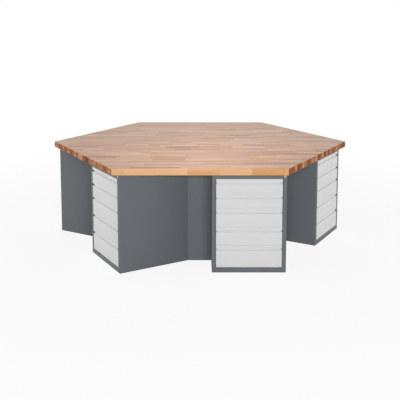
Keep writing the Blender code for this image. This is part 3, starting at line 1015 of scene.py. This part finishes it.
    def _slides(self, low: Vector, high: Vector) -> bpy.types.Object:
        """Roll the two slides, each with a ball groove along its outer side."""
        slides = []
        for direction, start in ((LEFT, low.x + self.runner_space - self.slide_width),
                                 (RIGHT, high.x - self.runner_space)):
            slide = block("slide", Vector((start, low.y + self.slide_start,
                                           low.z + self.slide_rise)),
                          Vector((start + self.slide_width, high.y,
                                  low.z + self.slide_rise + self.slide_height)))
            with editing(slide, Select.FACES, faces_towards(direction)):
                bpy.ops.mesh.inset(thickness=self.groove_margin)
                bpy.ops.mesh.extrude_region_move(
                    TRANSFORM_OT_translate={"value": -direction * self.groove_depth})
            slides.append(slide)
        both = join(*slides)
        round_edges(both, self.slide_radius)
        return both


@dataclass(frozen=True)
class Lamp:
    """A soft box that faces the bench, out of sight, in metres and watts.

    Where it hangs overhead its height is its length. A mirrored one shows in the sheen.
    """

    name: str
    place: tuple[float, float, float]
    width: float
    height: float
    power: float
    mirrored: bool = False

    def hang(self) -> None:
        """Add the lamp and aim it at half the bench's height."""
        data = bpy.data.lights.new(self.name, "AREA")
        data.shape = "RECTANGLE"
        data.size = self.width
        data.size_y = self.height
        data.energy = self.power
        lamp = bpy.data.objects.new(self.name, data)
        lamp.location = self.place
        aim = Vector((0, 0, CAD_BOX[1][2] / 2)) - Vector(self.place)
        lamp.rotation_euler = aim.to_track_quat("-Z", "Y").to_euler()
        lamp.visible_camera = False
        lamp.visible_glossy = self.mirrored
        bpy.context.scene.collection.objects.link(lamp)


@dataclass
class Studio:
    """Camera, soft lamps and white floor, as a product photograph has them."""

    lamps: tuple[Lamp, ...] = (
        Lamp("front", (0.6, -10.0, 2.9), 4.2, 1.6, 590.0),
        Lamp("right", (8.5, 1.6, 1.0), 4.0, 2.0, 325.0),
        Lamp("left", (-8.5, 3.2, 1.0), 4.0, 2.0, 570.0),
        Lamp("back", (1.2, 8.5, 1.4), 3.6, 2.4, 270.0),
        Lamp("overhead", (0, -0.4, 2.2), 0.7, 2.4, 15.4, mirrored=True),
    )
    lens: float = 61.90
    sensor: float = 36.0
    distance: float = 6.295
    height: float = 1.988
    pitch: float = 6.89
    shift: float = -0.25
    ambient: float = 0.20
    floor_radius: float = 60.0
    floor_corners: int = 64
    floor_tone: str = "#DCDCDC"
    floor_roughness: float = 0.9
    floor_near: float = 1.6
    floor_far: float = 5.0
    near_glow: float = 0.90

    def build(self) -> None:
        """Set the camera, the world, the lamps and the floor."""
        scene = bpy.context.scene
        scene.view_settings.view_transform = "Standard"
        self._camera(scene)
        self._world(scene)
        for lamp in self.lamps:
            lamp.hang()
        self._floor()

    def _camera(self, scene: bpy.types.Scene) -> None:
        """Set the camera where the photograph was taken from."""
        data = bpy.data.cameras.new("camera")
        data.lens = self.lens
        data.sensor_width = self.sensor
        data.shift_y = self.shift
        camera = bpy.data.objects.new("camera", data)
        camera.location = (0, -self.distance, self.height)
        camera.rotation_euler = (math.radians(90 - self.pitch), 0, 0)
        scene.collection.objects.link(camera)
        scene.camera = camera

    def _world(self, scene: bpy.types.Scene) -> None:
        """Surround the bench with even white light."""
        world = bpy.data.worlds.new("white")
        world.use_nodes = True
        tree = world.node_tree
        strength = add_node(tree, "MapRange", inputs={0: self._seen(tree), 3: self.ambient})
        shade = tree.nodes["Background"]
        shade.inputs["Color"].default_value = WHITE
        tree.links.new(strength.outputs[0], shade.inputs["Strength"])
        scene.world = world

    def _seen(self, tree: bpy.types.NodeTree) -> bpy.types.NodeSocket:
        """Return 1 for what the camera sees, straight or in metal or glass, and else 0.

        Args:
            tree: The world's or the floor's node tree.

        Returns:
            The socket that gives the number.
        """
        path = add_node(tree, "LightPath")
        mirrored = add_node(tree, "Math", {"operation": "MAXIMUM"},
                            {0: path.outputs["Is Glossy Ray"],
                             1: path.outputs["Is Transmission Ray"]})
        seen = add_node(tree, "Math", {"operation": "MAXIMUM"},
                        {0: path.outputs["Is Camera Ray"], 1: mirrored.outputs[0]})
        return seen.outputs[0]

    def _floor(self) -> None:
        """Lay the white floor, which keeps a faint shadow of the bench near it."""
        bpy.ops.object.select_all(action="DESELECT")
        bpy.ops.mesh.primitive_circle_add(vertices=self.floor_corners,
                                          radius=self.floor_radius, fill_type="NGON")
        floor = bpy.context.object
        floor.name = "floor"
        material, tree, shader = new_material("white floor")
        shader.inputs["Base Color"].default_value = linear(self.floor_tone)
        shader.inputs["Roughness"].default_value = self.floor_roughness
        coords = add_node(tree, "TexCoord")
        reach = add_node(tree, "VectorMath", {"operation": "LENGTH"},
                         {0: coords.outputs["Object"]})
        glow_share = add_node(tree, "MapRange", {"interpolation_type": "SMOOTHSTEP"},
                              {0: reach.outputs["Value"], 1: self.floor_near,
                               2: self.floor_far, 3: self.near_glow})
        glow = add_node(tree, "Emission", inputs={"Color": WHITE, "Strength": 1.0})
        share = add_node(tree, "Math", {"operation": "MULTIPLY"},
                         {0: self._seen(tree), 1: glow_share.outputs[0]})
        mixed = add_node(tree, "MixShader",
                         inputs={0: share.outputs[0], 1: shader.outputs[0], 2: glow.outputs[0]})
        output = tree.nodes["Material Output"]
        tree.links.new(mixed.outputs[0], output.inputs["Surface"])
        floor.data.materials.append(material)


def main() -> None:
    """Build every piece of the bench and the studio round it."""
    logging.basicConfig(level=logging.INFO, format="%(name)s: %(message)s")
    bench = Bench()
    slate = PowderCoat("slate grey powder coat", "#666B6F", "#6A6E72").material()
    light = PowderCoat("light grey powder coat", "#D5D6D6", "#D8D8D8").material()
    zinc = ZincPlate().material()
    chrome = ChromePlate().material()
    Worktop(bench).build()
    Housing(bench).build(slate, zinc, chrome)
    # The grip caps' black plastic also paints the shade in the grip recesses' ends
    Drawer(bench).build(light, zinc, PlasticAndPaintedShade().material())
    for name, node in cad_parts.items():
        if name.startswith("filler_panel"):
            node.data.materials[0] = slate
        elif name.endswith("_locking_bar"):
            node.data.materials[0] = zinc
        elif name.endswith("_lock"):
            node.data.materials[0] = chrome
    Studio().build()


if __name__ == "__main__":
    main()
